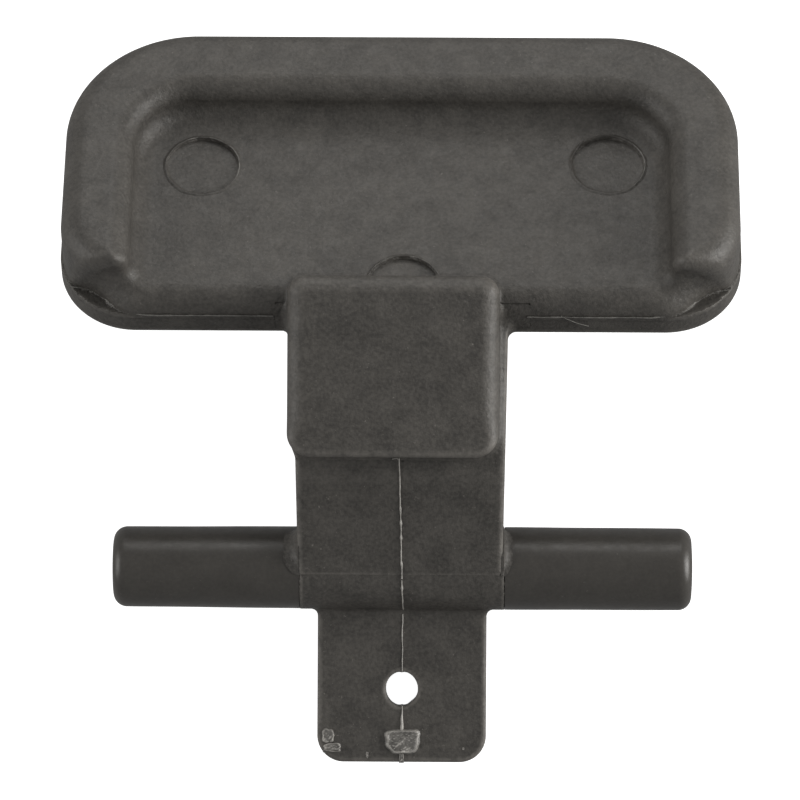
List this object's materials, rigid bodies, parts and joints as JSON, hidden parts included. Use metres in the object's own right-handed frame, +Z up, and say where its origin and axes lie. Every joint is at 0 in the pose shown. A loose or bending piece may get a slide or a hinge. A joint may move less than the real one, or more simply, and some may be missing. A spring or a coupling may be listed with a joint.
{
  "type": "radiator bleed key",
  "caption": "Hand key with a dished finger grip on a flat-fronted stem, a turning cross bar, a holed tongue and a square socket for a bleed valve.",
  "frame": {"origin": "middle of the bounding box in X and Y, on the surface that the key lies on", "axes": "+X along the cross bar, +Y from the tongue towards the grip, +Z up out of the key's front"},
  "size_m": [0.066, 0.0717, 0.0223],
  "materials": {
    "grip_plastic": "fine spark-eroded texture",
    "stem_plastic": "fine matte texture",
    "bar_plastic": "smooth, semi-gloss",
    "rod_steel": "drawn",
    "socket_brass": "machined"
  },
  "bodies": {
    "key": {"grip_dish": "grip_plastic", "grip_back": "grip_plastic", "front_block": "grip_plastic", "stem_left": "stem_plastic", "stem_right": "stem_plastic", "socket_insert": "socket_brass"},
    "bar": {"cross_rod": "rod_steel", "bar_arm_left": "bar_plastic", "bar_arm_right": "bar_plastic"}
  },
  "joints": [
    {"name": "bar_turn", "type": "hinge", "parent": "key", "child": "bar", "pos_m": [0, -0.01688, 0.00545], "axis": [1, 0, 0], "continuous": true}
  ]
}
